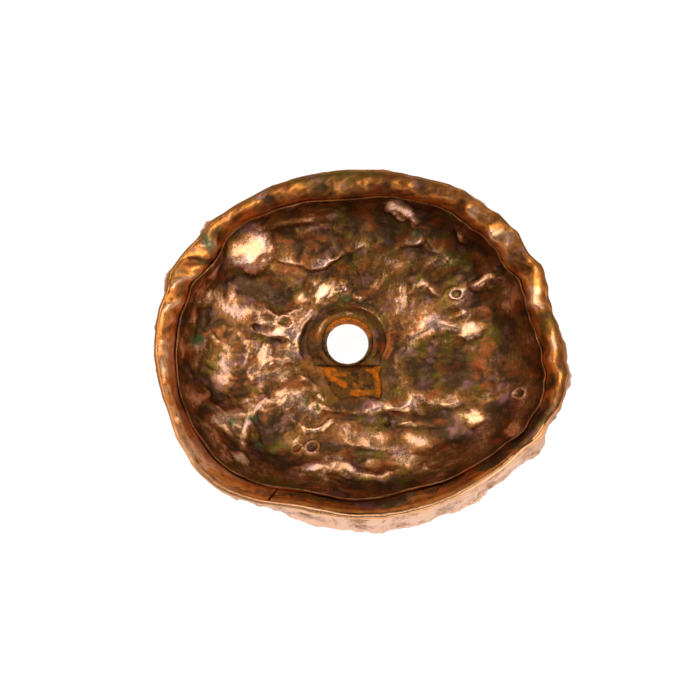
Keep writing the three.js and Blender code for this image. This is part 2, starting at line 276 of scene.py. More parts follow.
# The liner: a thin dished sheet, beaten from inside, with folds, blisters and flats left in it
liner = {
    "around": 600,
    "rings": 122,
    "edgeWall": 0.5,
    "floorRadius": 17.0,
    "edgeRadius": 41.75,
    "passRadius": 6.15,
    "top": 5.8,
    "edgeTop": 21.6,
    "wall": 1.0,
    "underRings": 18,
    # size and depth
    "bigBlow": (12.0, 0.5),
    "swell": (12.0, 0.55),
    "ridges": (6.5, 0.36),
    "crumple": (2.2, 0.16),
    "grain": (0.8, 0.03),
    "blowsOut": 54,  # how far from the middle blows are laid
    "seed": 5,
    "stretch": 1.5,  # marks run longer across the bowl
    "blowStretch": 1.25,
    "lightBy": (0.62, 0.42),  # a rise over its near and its wide surroundings that brightens by 1
    # how much lighter the flats are painted, as highlights
    "flatHighlightBy": 1.15,
    "creaseWiden": 1.5,
    # how marks are pulled about: amount, size, octaves and two seeds
    "pullMarks": [(1.6, 9.0, 2, 1, 2), (0.6, 2.6, 3, 14, 15)],
    "pullCreases": [(0.9, 7.0, 2, 16, 17)],
    "pullFlats": [(1.5, 4.0, 4, 8, 9)],
    "pullStains": [(0.7, 1.6, 3, 21, 22)],
    # the relief is held down up to the first distance and whole from the second
    "calmEdge": (0.3, 4.0),
    "calmCollar": (0.0, 1.8),
    "calmPlate": (0.0, 0.9),
    # a sunk ring round the collar: where, how much, how wide in degrees
    "moat": [(175, 1.0, 60), (110, 0.5, 30), (20, 0.4, 30)],
    "moatDepth": 0.8,
    "moatOut": 0.9,  # from the collar's edge
    "edgeShade": (0.5, 4),  # how much darker, over how many rings
    # folds and ridges: points, width, ridge height, step on the left side, and the step's reach
    "creases": [
        ([(-18.5, 24.0), (-13, 22.8), (-8, 24.2), (-3.5, 27.0), (4.2, 29.2)], 0.35, 0.15, 0.9, 3.5),
        ([(11.5, 28.2), (15.5, 29.3), (20.0, 26.2)], 0.35, 0.25, 0.8, 2.5),
        ([(22.6, 34.5), (25.3, 30.0), (26.2, 25.5)], 0.45, 0.55, 0.5, 2.0),
        ([(-5.2, 23.0), (-3.4, 17.8), (-0.5, 15.4), (3.4, 17.2), (6.0, 22.0)], 0.6, 0.55, 0.0, 1.0),
        ([(-5.5, 20.5), (-9.3, 14.6)], 0.5, 0.5, 0.0, 1.0),
        ([(-15.5, -3.5), (-11.0, -7.5), (-8.6, -13.3)], 0.5, 0.55, 0.4, 2.5),
        ([(-8.6, -13.4), (3.0, -15.2), (8.5, -13.6), (14.7, -14.6)], 0.35, 0.25, 0.95, 3.2),
        ([(-7.8, -22.2), (-1.5, -23.6), (4.2, -24.2)], 0.4, 0.2, 0.8, 2.6),
        ([(-25.4, -4.0), (-24.6, -10.7), (-27.4, -16.6), (-29.9, -28.3)], 0.55, 0.6, 0.0, 1.0),
        ([(-19.0, -14.0), (-13.5, -19.0), (-9.0, -18.2), (-6.4, -15.8)], 0.5, 0.6, 0.0, 1.0),
        ([(-35.5, 23.5), (-38.5, 18.0), (-42.5, 12.5)], 0.6, 0.6, 0.3, 2.0),
        ([(-40.5, 11.0), (-41.5, 7.0), (-41.0, 3.5)], 0.35, 0.4, 0.0, 1.0),
        ([(-24.0, 13.0), (-20.0, 11.0), (-15.0, 12.5)], 0.5, 0.45, 0.3, 2.0),
        ([(-29.0, 8.0), (-24.0, 6.2), (-17.5, 5.0), (-12.0, 6.4)], 0.5, 0.5, 0.4, 2.5),
        ([(25.5, 19.5), (30.0, 17.8), (36.0, 20.4)], 0.6, 0.6, 0.5, 2.5),
        ([(18.0, -11.8), (24.0, -12.6), (31.0, -11.4)], 0.5, 0.3, 0.5, 2.5),
        ([(9.5, -17.5), (15.0, -17.0), (19.5, -18.3)], 0.4, 0.4, 0.4, 2.0),
        ([(13.5, 16.5), (17.5, 18.5), (21.0, 15.5)], 0.6, 0.4, 0.4, 2.5),
        ([(-31.5, -12.6), (-27.6, -12.0)], 0.5, 0.2, 0.5, 2.0),
        ([(7.4, 7.5), (7.6, 2.5), (5.6, -2.4)], 0.45, 0.6, 0.0, 1.0),
        ([(-2.5, -31.0), (6.0, -31.5), (14.0, -28.5)], 0.6, 0.2, 0.5, 3.0),
    ],
    # dishes and lumps: x, y, half length, half width, turn, rise
    "dishes": [
        (-21.5, -23.5, 7.2, 6.6, 20, -1.5),
        (-33.0, -7.0, 5.0, 7.5, 0, -0.6),
        (-26.0, 17.0, 8.5, 4.0, -8, -0.9),
        (-20.0, 30.0, 5.0, 4.0, 20, -0.5),
        (-3.0, 33.5, 8.0, 4.5, 0, -0.8),
        (19.0, 31.0, 4.0, 4.0, 0, -0.8),
        (33.0, 11.0, 4.5, 5.5, 0, -0.8),
        (24.0, -3.0, 8.0, 5.5, 0, -0.7),
        (-14.5, 10.5, 5.0, 3.5, 0, 0.7),
        (-12.0, -24.0, 3.5, 3.5, 0, 0.4),
        (27.5, 24.5, 3.5, 4.5, 20, -0.9),
        (7.5, -16.2, 1.3, 1.0, 0, -1.1),
        (-16.5, -21.5, 2.4, 2.0, 0, 0.6),
        (17.0, 10.0, 3.5, 5.0, 0, 0.6),
        (34.5, -22.5, 4.0, 2.5, 60, -0.8),
        (20.0, -29.0, 6.0, 2.6, -25, -0.7),
    ],
    # blisters that burst and left a rim: x, y, radius, rim height
    "blisters": [
        (-18.8, 9.6, 1.9, 0.34), (24.7, 16.4, 1.5, 0.34), (-11.0, -12.9, 1.4, 0.3),
        (-11.9, -23.2, 1.7, 0.3), (40.0, -10.8, 1.5, 0.34), (-15.9, -23.6, 1.2, 0.28),
        (-19.8, -18.6, 1.0, 0.25),
    ],
    # flats, each also painted lighter as a highlight patch: x, y, half length, half width, turn, and the
    # slope they lie at along x and y
    "flats": [
        (-27.6, 27.0, 5.4, 5.2, 30, -0.344, 0.364),
        (-31.8, 16.6, 1.6, 2.8, 0, -0.383, 0.053),
        (-15.6, 16.0, 2.6, 2.2, 0, 0.267, -0.106),
        (-9.5, 17.0, 1.6, 2.6, -20, 0.267, -0.106),
        (10.3, 36.2, 4.2, 1.6, -42, -0.078, 0.571),
        (11.6, 15.4, 1.5, 3.8, -10, -0.383, 0.053),
        (-21.5, 7.2, 4.6, 1.8, 0, 0.267, -0.106),
        (-25.0, 0.4, 2.6, 3.2, 0, 0.267, -0.106),
        (-34.8, -6.6, 2.8, 4.8, -15, -0.383, 0.053),
        (-27.6, -5.0, 0.8, 2.4, 10, 0.387, 0.155),
        (16.0, -22.4, 3.6, 1.9, -15, -0.073, -0.29),
        (-11.2, -29.0, 2.2, 1.6, 0, -0.073, -0.29),
        (-3.6, -29.6, 2.8, 1.8, 0, -0.073, -0.29),
        (3.4, -28.0, 1.9, 2.0, 0, -0.073, -0.29),
        (29.4, -16.4, 1.8, 2.8, 0, 0.267, -0.106),
        (28.0, 7.6, 3.0, 2.0, 10, 0.267, -0.106),
        (32.0, 18.8, 3.8, 1.4, 20, 0.387, 0.155),
        (-30.0, -27.6, 1.8, 2.8, 30, -0.25, -0.2),
        (6.6, -20.4, 2.4, 1.5, 0, -0.073, -0.29),
    ],
    # patches painted darker or lighter, mostly painted shade and painted light, partly the patina's own
    # tone: x, y, half length, half width, turn, amount
    "shades": [
        (18, -4, 10, 8, 0, -0.9), (-1, -8, 9.5, 6, 0, -1.2), (6, -1, 3, 6, 0, -0.5),
        (0, 32, 15, 6, 0, -0.8), (26, 27, 6, 8, 20, -0.8), (-34, 9, 8, 3, 0, -0.7),
        (-34, -13.6, 6, 1.5, 0, -0.7), (-22.5, -24, 6, 6, 0, -0.6),
        (3, -15.2, 12, 1.6, 0, -0.8), (8, -17, 2.4, 1.8, 0, -1.0), (-2, -24, 7.5, 1.3, -8, -0.9),
        (37, 4, 6, 12, 0, -0.7), (33, -12, 5, 4, 0, -0.4), (5, -34.5, 20, 2.5, 0, -0.7),
        (-21, 18, 9, 4, 0, -0.6), (2, 22, 6, 4, 0, -0.25), (-13.4, 3, 1.6, 5.5, 0, -0.9),
        (24, -1.5, 8, 1.4, 0, -0.5), (21, 21.5, 5, 2, 0, -0.5), (-13, 24, 1.4, 3, 0, -0.6),
        (-22, 5, 12, 8, 0, 0.35), (-34, -17, 6, 7, 0, 0.3), (-8, 15, 7, 4, 0, 0.25),
        (13, 14, 5, 6, 0, 0.3), (-8, -27, 14, 4, 0, 0.3), (16, -22, 6, 4, 0, 0.3),
        (29, 8, 6, 3.5, 0, 0.5), (31, 18, 6, 3, 0, 0.25), (-30, -7, 8, 6, 0, 0.2),
        (-14, -18, 7, 4, 0, 0.45), (-27, -2, 7, 5, 0, 0.35),
    ],
    # green spots and rust stains: x, y, half length, half width, turn
    "green": [
        (-40.6, 3.0, 2.0, 1.3, 35), (-24.8, -22.8, 1.0, 0.8, 0), (-13.3, -11.2, 0.7, 1.0, 0),
        (-32.4, -17.5, 1.6, 0.9, 20), (-26.8, -16.0, 1.6, 0.7, 20), (-3.3, 15.8, 0.9, 0.8, 0),
        (14.6, 31.0, 1.6, 0.8, 0),
    ],
    "rust": [(-2.2, -6.3, 8.4, 5.0, 0), (-3.0, 3.9, 9.0, 8.0, 0), (-12.0, -1.5, 3.0, 2.5, 0)],
}


def plateBox():
    return [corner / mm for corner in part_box("keeper_plate")]


def linerProfile():
    flat, edge = liner["floorRadius"], liner["edgeRadius"]
    low, high = liner["top"], liner["edgeTop"]
    corners = [(flat, low), ((flat + edge) / 2, low), (edge, (low + high) / 2), (edge, high)]
    curve = bezier(corners, 200)
    return respaced(np.vstack([[(liner["passRadius"], low)], curve]), liner["rings"])


def linerRelief(grid):
    # everything is pulled about first, so that no mark is regular
    x, y = strayed(grid, *liner["pullMarks"])
    drawn = np.stack([x / liner["stretch"], y, grid[..., 2]], -1)
    size, depth = liner["bigBlow"]
    relief = hammerBlows(x / liner["blowStretch"], y, size, depth, liner["blowsOut"], liner["seed"])
    busy = smoothStep(noiseAt(grid, 18.0, 2, 4) - 0.012 * grid[..., 0], -0.3, 0.4)  # busier on the left
    size, depth = liner["swell"]
    relief += depth * noiseAt(drawn, size, 2, 7)
    size, depth = liner["ridges"]
    relief += depth * busy * (0.35 - 1.4 * np.abs(noiseAt(drawn, size, 3, 6)))
    size, depth = liner["crumple"]
    relief += depth * noiseAt(drawn, size, 4, 5) * (0.35 + 1.0 * busy)
    for cx, cy, long, wide, turn, rise in liner["dishes"]:
        relief += rise * np.exp(-ovalWindow(x, y, (cx, cy, long, wide, turn)) ** 2)
    creaseX, creaseY = strayed(grid, *liner["pullCreases"])
    fade = 0.35 + 0.9 * smoothStep(noiseAt(grid, 4.5, 2, 18), -0.35, 0.25)
    for points, width, ridge, step, reach in liner["creases"]:
        away, along = strokeAt(creaseX, creaseY, points)
        width = width * liner["creaseWiden"]
        taper = fade * np.sin(np.pi * np.clip(along, 0.06, 0.94)) ** 0.6
        relief += taper * ridge * np.exp(-(away / width) ** 2)
        cliff = 1 / (1 + np.exp(-np.clip(away / width * 2.4, -30, 30)))
        relief += taper * step * cliff * np.exp(-np.clip(away, 0, None) / reach)
        relief -= taper * 0.45 * step * (1 - cliff) * np.exp(np.clip(away, None, 0) / reach)
    for cx, cy, radius, rim in liner["blisters"]:
        overX = 0.7 * creaseX + 0.3 * x - cx
        overY = 0.7 * creaseY + 0.3 * y - cy
        away = np.hypot(overX, 1.15 * overY) / radius
        relief += rim * np.exp(-((away - 1) / 0.3) ** 2) - 0.5 * rim * np.exp(-(away / 0.8) ** 4)
    return relief


def layFlats(grid, relief):
    # a flat lies at its own slope, whatever the bowl does under it
    x, y = strayed(grid, *liner["pullFlats"])
    paintedHighlightPatch = np.zeros_like(relief)
    for cx, cy, long, wide, turn, slopeX, slopeY in liner["flats"]:
        window = ovalWindow(x, y, (cx, cy, long, wide, turn))
        share = 1 - smoothStep(window, 0.4, 1.5)
        # each flat's patch is also painted lighter: a painted highlight
        paintedHighlightPatch = np.maximum(paintedHighlightPatch, 1 - smoothStep(window, 0.3, 1.5))
        near = window < 0.8
        if not near.any():
            continue
        total = grid[..., 2] + relief
        level = total[near].mean()
        level -= slopeX * (grid[..., 0][near].mean() - cx) + slopeY * (grid[..., 1][near].mean() - cy)
        plane = level + slopeX * (grid[..., 0] - cx) + slopeY * (grid[..., 1] - cy)
        relief = relief + 0.75 * share * (plane - total)
    return relief, paintedHighlightPatch


def buildLiner():
    angles = np.linspace(0, fullTurn, liner["around"], endpoint=False)
    top = linerProfile()
    normal = leftNormals(top)
    smoothTop = turnedGrid(top, angles)
    topX, topY, topZ = np.moveaxis(smoothTop, -1, 0)
    relief, paintedHighlightPatch = layFlats(smoothTop, linerRelief(smoothTop))
    fromEdge = (liner["edgeTop"] - topZ) + (liner["edgeRadius"] - top[:, :1])
    relief = relief * (0.5 + 0.5 * smoothStep(fromEdge, *liner["calmEdge"]))
    # nothing stands up under the collar and the keeper plate
    low, high = plateBox()
    outX = np.maximum(low.x - topX, topX - high.x)
    outY = np.maximum(low.y - topY, topY - high.y)
    up = np.clip((topY - low.y) / (high.y - low.y), 0, 1)
    outX = np.maximum(outX, low.x + keeper["corner"] * (1 - up) ** 1.5 - topX)
    fromPlate = np.maximum(outX, outY)
    bearing = np.arctan2(topY - boreCentre[1], topX - boreCentre[0])
    fromCollar = np.hypot(topX - boreCentre[0], topY - boreCentre[1]) - collarEdge(bearing)
    free = smoothStep(fromCollar, *liner["calmCollar"]) * smoothStep(fromPlate, *liner["calmPlate"])
    deep = np.clip(swellAt(bearing, liner["moat"]), 0, 1)
    fromMoat = fromCollar - liner["moatOut"] - 0.6 * noiseAt(smoothTop, 5.0, 2, 19)
    moat = -liner["moatDepth"] * deep * np.exp(-fromMoat ** 2)
    moat *= smoothStep(fromPlate, 0.0, 1.0)
    relief = np.minimum(relief, 0.0) * 0.4 * (1 - free) + relief * free + moat
    size, depth = liner["grain"]
    relief += depth * noiseAt(smoothTop, size, 2, 12)
    topRows = turnedGrid(top, angles, (normal, relief))
    wearAndPaintedLight = relief - blurred(relief, 4, 4)
    wide = relief - blurred(relief, 12, 12)

    edgeTurn = np.linspace(0, math.pi, 6)[1:-1]
    half = liner["edgeWall"] / 2
    edge = np.stack([
        liner["edgeRadius"] + half - half * np.cos(edgeTurn),
        liner["edgeTop"] + half * np.sin(edgeTurn),
    ], -1)
    under = respaced(top + normal * -liner["wall"], liner["underRings"])[::-1]
    under[0] = (liner["edgeRadius"] + liner["edgeWall"], liner["edgeTop"] - 0.2)
    spots = np.linspace(liner["rings"] - 1, 0, liner["underRings"]).round().astype(int)
    sunk = np.minimum(relief[spots], 0)
    underRows = turnedGrid(under, angles, (leftNormals(under[::-1])[::-1], sunk))
    rows = np.concatenate([topRows, turnedGrid(edge, angles), underRows])
    piece = gridMesh("linerSheet", rows)
    # painted shade and painted light from the shades table, partly patina tone
    shade = np.zeros_like(relief)
    for cx, cy, long, span, turn, amount in liner["shades"]:
        shade += amount * np.exp(-ovalWindow(topX, topY, (cx, cy, long, span, turn)) ** 2)
    darker, lastRings = liner["edgeShade"]
    ring = np.arange(liner["rings"])[:, None]
    shade -= darker * smoothStep(ring + 0 * relief, liner["rings"] - lastRings, liner["rings"])
    rest = np.zeros((len(rows) - len(topRows), len(angles)))
    nearRise, wideRise = liner["lightBy"]
    # wear, the flats' painted highlight and the painted shade and light of the shades table, summed
    brightness = wearAndPaintedLight / nearRise + wide / wideRise + liner["flatHighlightBy"] * paintedHighlightPatch + shade
    paint(piece, "wearAndPaintedLight", np.concatenate([brightness, rest]))
    x, y = strayed(smoothTop, *liner["pullStains"])
    for name, spread in (("green", 0.5), ("rust", 0.35)):
        stain = np.zeros_like(x)
        for spot in liner[name]:
            stain = np.maximum(stain, 1 - smoothStep(ovalWindow(x, y, spot), 1 - spread, 1 + spread))
        paint(piece, name, np.concatenate([stain, rest]))
    return piece


# The strip that bridges lip and liner
strip = {
    "around": 720,
    "across": 16,
    "upper": (47.0, 26.12),  # radius and height of its upper edge, laid over the lip
    "bend": (44.2, 25.2),
    "lower": (42.5, 21.4),
    "radius": 44,  # of its middle
    "brushWidth": 5.5,  # how far the brush marks reach across it
    "wall": 0.9,
    "thinned": (44.5, 45.8),  # the radii between which it tapers out over the lip
    "jointAt": 241,
    "jointGap": 0.4,
    "waves": 0.26,
    "bare": [(275, 1.0, 42)],  # where it stops short of the lip
    "bareRadii": (44.5, 47.0),
    # rounded out at some places and hollow at others: where, how much, how wide in degrees
    "bulges": [
        (95, 0.35, 45), (30, 0.75, 38), (-8, 0.6, 24),
        (262, -0.75, 48), (305, -0.4, 25), (190, 0.4, 30),
    ],
    "lumps": [(40, 0.7, 30), (-5, 0.6, 25), (155, 0.35, 22)],
    # short folds across the strip: where, how high, how wide in degrees, how far they lean
    "folds": [
        (146, 0.5, 1.6, 5), (153, -0.5, 1.4, 6), (160, 0.55, 1.5, 8), (168, 0.4, 1.5, 5),
        (176, -0.35, 1.6, 4), (38, 0.3, 2.0, -5), (24, -0.35, 1.8, -4), (12, 0.35, 2.0, -3),
        (-14, 0.3, 2.0, 4), (121, -0.35, 1.6, 3),
    ],
    # painted shade and painted light along the strip: where, how much, how wide in degrees
    "shades": [
        (268, -1.9, 36), (325, -1.6, 26), (95, -0.8, 36),
        (38, 0.35, 22), (186, 0.9, 26), (222, 1.5, 18),
    ],
    # a painted highlight along the strip's lower, inner edge
    "innerHighlight": (1.1, 3),  # how much brighter, over how many rows
    "green": [(146, 0.9, 4), (100, 0.35, 7), (124, 0.5, 3), (158, 0.4, 3)],
}


def buildStrip():
    half = math.degrees(strip["jointGap"] / 2 / strip["radius"])
    start = math.radians(strip["jointAt"] + half)
    angles = start + np.linspace(0, fullTurn - 2 * math.radians(half), strip["around"])
    t = np.linspace(0, 1, strip["across"])[:, None]
    a, b, c = (np.array(strip[k]) for k in ("lower", "bend", "upper"))
    top = a * (1 - t) ** 2 + 2 * b * (1 - t) * t + c * t * t
    thin = strip["wall"] * (1 - 0.95 * smoothStep(top[:, 0], *strip["thinned"]))
    under = (top - np.stack([0 * thin, thin], -1))[::-3]
    section = np.vstack([top, under])
    grid = turnedGrid(section, angles)
    # bulges and waves fade out at the strip's two edges
    swing = np.sin(np.linspace(0.3, math.pi - 0.05, len(top)))
    hold = np.r_[swing, np.zeros(len(under))][:, None]
    push = strip["waves"] * (noiseAt(grid, 6.0, 3, 31) + 0.5 * noiseAt(grid, 1.7, 2, 32))
    lumps = noiseAt(grid, 7.0, 2, 33) * swellAt(angles, strip["lumps"])
    lean = np.r_[t - 0.5, np.zeros((len(under), 1))]
    for at, rise, wide, slant in strip["folds"]:
        push = push + swellAt(angles[None, :] - np.radians(slant) * lean, [(at, rise, wide)])
    push = hold * (push + lumps + 0.8 * swellAt(angles, strip["bulges"]))
    normal = np.vstack([leftNormals(top), np.zeros_like(under)])
    rows = turnedGrid(section, angles, (normal, push))
    # along the front the strip stops short of the lip and leaves it bare
    bare = swellAt(angles, strip["bare"]) * smoothStep(section[:, :1], *strip["bareRadii"])
    drawIn(rows, angles, bare)
    rows[..., 2] -= 0.6 * bare
    piece = gridMesh("rimStrip", rows, closedRound=False)
    count = len(top)
    wearAndPaintedLight = np.zeros(push.shape)
    # raised folds lighter, plus the strip's painted shade and painted light
    wearAndPaintedLight[:count] = (push - blurred(push, 2, 9))[:count] / 0.15 + swellAt(angles, strip["shades"])
    # painted highlight along the lower edge
    brighter, firstRows = strip["innerHighlight"]
    wearAndPaintedLight[:count] += brighter * (1 - smoothStep(np.arange(count)[:, None] + 0 * angles, 0, firstRows))
    paint(piece, "wearAndPaintedLight", wearAndPaintedLight)
    green = np.zeros(push.shape)
    patchy = smoothStep(noiseAt(grid, 3.0, 2, 34)[:count], -0.3, 0.3)
    green[:count] = swellAt(angles, strip["green"]) * patchy
    paint(piece, "green", np.clip(green, 0, 1))
    # brush marks run slantwise along the strip
    along = strip["radius"] * (angles - start) + 0 * push
    over = np.zeros(push.shape)
    over[:count] = strip["brushWidth"] * t
    paint(piece, "streakX", (over + 0.3 * along) * mm)
    paint(piece, "streakY", 0.08 * along * mm)
    return piece


# The outer shell, beaten over a stake, lumpy and pitted outside
shell = {
    "around": 640,
    "wall": 1.5,
    "lipInset": 1.2,
    "footInset": 19.0,
    "footCurve": 10.4,
    "sideCurve": 9.0,
    "kickHeight": 3.0,
    "kickTop": 10.4,
    "kickFoot": 16.0,
    "insideRows": 22,
    "lipWork": 0.14,  # how freely the hammer works on the lip
    "lipBand": (24.2, 25.1),
    "blowSize": 7.5,
    "blowDepth": 1.1,
    "lumpSize": 9.0,
    "lumpDepth": 1.1,
    "pitCount": 0.007,  # to a square millimetre
    "pitWidth": 1.5,
    "pitDepth": 0.6,
    "seed": 11,
    # where, how much, how wide in degrees: the wall drawn in under the lip, the groove and the painted
    # sheen on the front
    "tucked": [(193, 1.9, 46), (20, 0.9, 30)],
    "tuckRise": (1.0, 9.0),
    "tuckFall": (20.0, 25.0),
    "tuckOutside": 25,
    "groove": [(280, 1.2, 55)],
    "grooveShape": (23.4, 0.45, 0.5),  # height, width and depth
    "paintedSheen": [(275, 1.3, 50), (318, 0.5, 16), (212, 0.4, 12)],
    "sheenFrom": (0.3, 5.0),
    "rougher": [(20, 0.25, 45), (140, 0.3, 30), (270, -0.1, 40)],
}


def shellSection():
    belly, top = plan["bellyHeight"], plan["lipHeight"] - shell["wall"] / 2
    foot = meanRadius - shell["footInset"]
    lip = meanRadius - shell["lipInset"]
    flat, kick, rise = shell["kickTop"], shell["kickFoot"], shell["kickHeight"]
    mid = (flat + kick) / 2
    inner = np.vstack([
        [(liner["passRadius"], rise)],
        bezier([(flat, rise), (mid, rise), (mid, 0), (kick, 0)], 12),
        [(foot, 0)],
    ])
    widest = (meanRadius, belly)
    below = [(foot + shell["footCurve"], 0), (meanRadius, belly - shell["sideCurve"])]
    above = [(meanRadius, (belly * 2 + top) / 3), (lip, (belly + top * 2) / 3)]
    side = np.vstack([
        bezier([(foot, 0), *below, widest], 60),
        bezier([widest, *above, (lip, top)], 40)[1:],
    ])
    base = respaced(inner, 26)[:-1]
    side = respaced(side, 84)
    outside = np.vstack([base, side])
    inside = respaced(outside + leftNormals(outside) * shell["wall"], shell["insideRows"])
    turn = np.linspace(0, math.pi, 9)[1:-1]
    half = shell["wall"] / 2
    lipRound = np.stack([lip - half + half * np.cos(turn), top + half * np.sin(turn)], -1)
    section = np.vstack([outside, lipRound, inside[::-1]])
    # how freely the hammer works: none on the foot, all on the side, a little on the lip
    onSide = smoothStep(side[:, 1], 0.2, 4.0) * (1 - 0.7 * smoothStep(side[:, 1], 22.0, 25.3))
    onLip = np.full(len(turn), shell["lipWork"])
    free = np.r_[np.zeros(len(base)), onSide, onLip, np.zeros(len(inside))]
    return section, free


def addNode(tree, kind, inputs=None, **settings):
    # an input is a plain value or the output of another node
    node = tree.nodes.new(kind)
    for key, value in settings.items():
        setattr(node, key, value)
    for key, value in (inputs or {}).items():
        if isinstance(value, bpy.types.NodeSocket):
            tree.links.new(value, node.inputs[key])
        else:
            node.inputs[key].default_value = value
    return node


def mathNode(tree, operation, first, second):
    return addNode(tree, "ShaderNodeMath", {0: first, 1: second}, operation=operation).outputs[0]


def rampNode(tree, value, start, end, low=0.0, high=1.0):
    inputs = {"From Min": start, "From Max": end, "To Min": low, "To Max": high, "Value": value}
    return addNode(tree, "ShaderNodeMapRange", inputs, interpolation_type="SMOOTHSTEP").outputs[0]


def hammerTree(finish):
    # geometry nodes: hammer marks, lumps and pits pushed into any surface where "free" allows it
    tree = bpy.data.node_groups.new("hammerWork", "GeometryNodeTree")
    face = tree.interface
    face.new_socket("Geometry", in_out="INPUT", socket_type="NodeSocketGeometry")
    for name in ("Blow Size", "Blow Depth", "Lump Size", "Lump Depth", "Pits", "Pit Width", "Pit Depth"):
        face.new_socket(name, in_out="INPUT", socket_type="NodeSocketFloat")
    face.new_socket("Seed", in_out="INPUT", socket_type="NodeSocketInt")
    face.new_socket("Geometry", in_out="OUTPUT", socket_type="NodeSocketGeometry")

    def add(kind, inputs=None, **settings):
        return addNode(tree, kind, inputs, **settings)

    def maths(operation, first, second):
        return mathNode(tree, operation, first, second)

    def vectors(operation, first, second):
        inputs = {0: first, "Scale" if operation == "SCALE" else 1: second}
        return add("ShaderNodeVectorMath", inputs, operation=operation).outputs[0]

    def stored(name, geometry, value):
        inputs = {"Name": name, "Geometry": geometry, "Value": value}
        node = add("GeometryNodeStoreNamedAttribute", inputs, data_type="FLOAT", domain="POINT")
        return node.outputs[0]

    strayBy = 0.009  # metres, how far the marks are pulled about
    sink = 0.0003  # metres, so that the raised work stays near the plain wall
    given = add("NodeGroupInput").outputs
    position = add("GeometryNodeInputPosition").outputs[0]
    free = add("GeometryNodeInputNamedAttribute", {"Name": "free"}, data_type="FLOAT")
    free = free.outputs["Attribute"]

    pull = add("ShaderNodeTexNoise", {"Scale": 240, "Detail": 4, "Vector": position})
    pulled = vectors("SUBTRACT", pull.outputs["Color"], (0.5, 0.5, 0.5))
    spot = vectors("ADD", position, vectors("SCALE", pulled, strayBy))

    blows = add("ShaderNodeTexVoronoi", {
        "Smoothness": 0.25,
        "Randomness": 0.9,
        "Vector": spot,
        "Scale": maths("DIVIDE", 1, given["Blow Size"]),
    }, feature="SMOOTH_F1")
    dish = maths("MULTIPLY", maths("POWER", blows.outputs["Distance"], 2), given["Blow Depth"])
    dish = maths("SUBTRACT", maths("MULTIPLY", dish, 2.2), maths("MULTIPLY", given["Blow Depth"], 0.45))

    lumpScale = maths("DIVIDE", 1, given["Lump Size"])
    lumps = add("ShaderNodeTexNoise", {"Detail": 2.5, "Vector": position, "Scale": lumpScale})
    lump = maths("MULTIPLY", maths("SUBTRACT", lumps.outputs[0], 0.5), given["Lump Depth"])

    points = add("GeometryNodeDistributePointsOnFaces", {
        "Mesh": given["Geometry"],
        "Selection": maths("GREATER_THAN", free, 0.7),
        "Density": given["Pits"],
        "Seed": given["Seed"],
    }).outputs["Points"]
    nearest = add("GeometryNodeSampleNearest", {"Geometry": points}, domain="POINT")
    inputs = {"Geometry": points, "Index": nearest.outputs[0], "Value": position}
    place = add("GeometryNodeSampleIndex", inputs, data_type="FLOAT_VECTOR", domain="POINT")
    apart = vectors("SUBTRACT", spot, place.outputs[0])
    apart = vectors("MULTIPLY", apart, (1, 1, 2.2))  # pits are slits along the side
    apart = add("ShaderNodeVectorMath", {0: apart}, operation="LENGTH").outputs["Value"]
    pit = rampNode(tree, maths("DIVIDE", apart, given["Pit Width"]), 0.35, 1.15, 1, 0)
    pit = maths("MULTIPLY", pit, free)

    rise = maths("ADD", dish, lump)
    rise = maths("SUBTRACT", rise, maths("MULTIPLY", pit, given["Pit Depth"]))
    rise = maths("MULTIPLY", rise, free)
    rise = maths("SUBTRACT", rise, maths("MULTIPLY", free, sink))
    offset = vectors("SCALE", add("GeometryNodeInputNormal").outputs[0], rise)
    wearAndPaintedLight = maths("DIVIDE", maths("MULTIPLY", dish, free), given["Blow Depth"])
    marked = stored("wearAndPaintedLight", stored("pit", given["Geometry"], pit), wearAndPaintedLight)
    moved = add("GeometryNodeSetPosition", {"Geometry": marked, "Offset": offset})
    whole = add("GeometryNodeRealizeInstances", {"Geometry": moved.outputs[0]})
    finished = add("GeometryNodeSetMaterial", {"Geometry": whole.outputs[0], "Material": finish})
    add("NodeGroupOutput", {0: finished.outputs[0]})
    return tree


def applyTree(piece, tree, sizes):
    modifier = piece.modifiers.new("work", "NODES")
    modifier.node_group = tree
    for item in tree.interface.items_tree:
        if item.item_type == "SOCKET" and item.in_out == "INPUT" and item.name in sizes:
            modifier[item.identifier] = sizes[item.name]
    graph = bpy.context.evaluated_depsgraph_get()
    made = bpy.data.meshes.new_from_object(piece.evaluated_get(graph), depsgraph=graph)
    piece.modifiers.clear()
    old = piece.data
    piece.data = made
    made.name = piece.name
    bpy.data.meshes.remove(old)
    return piece


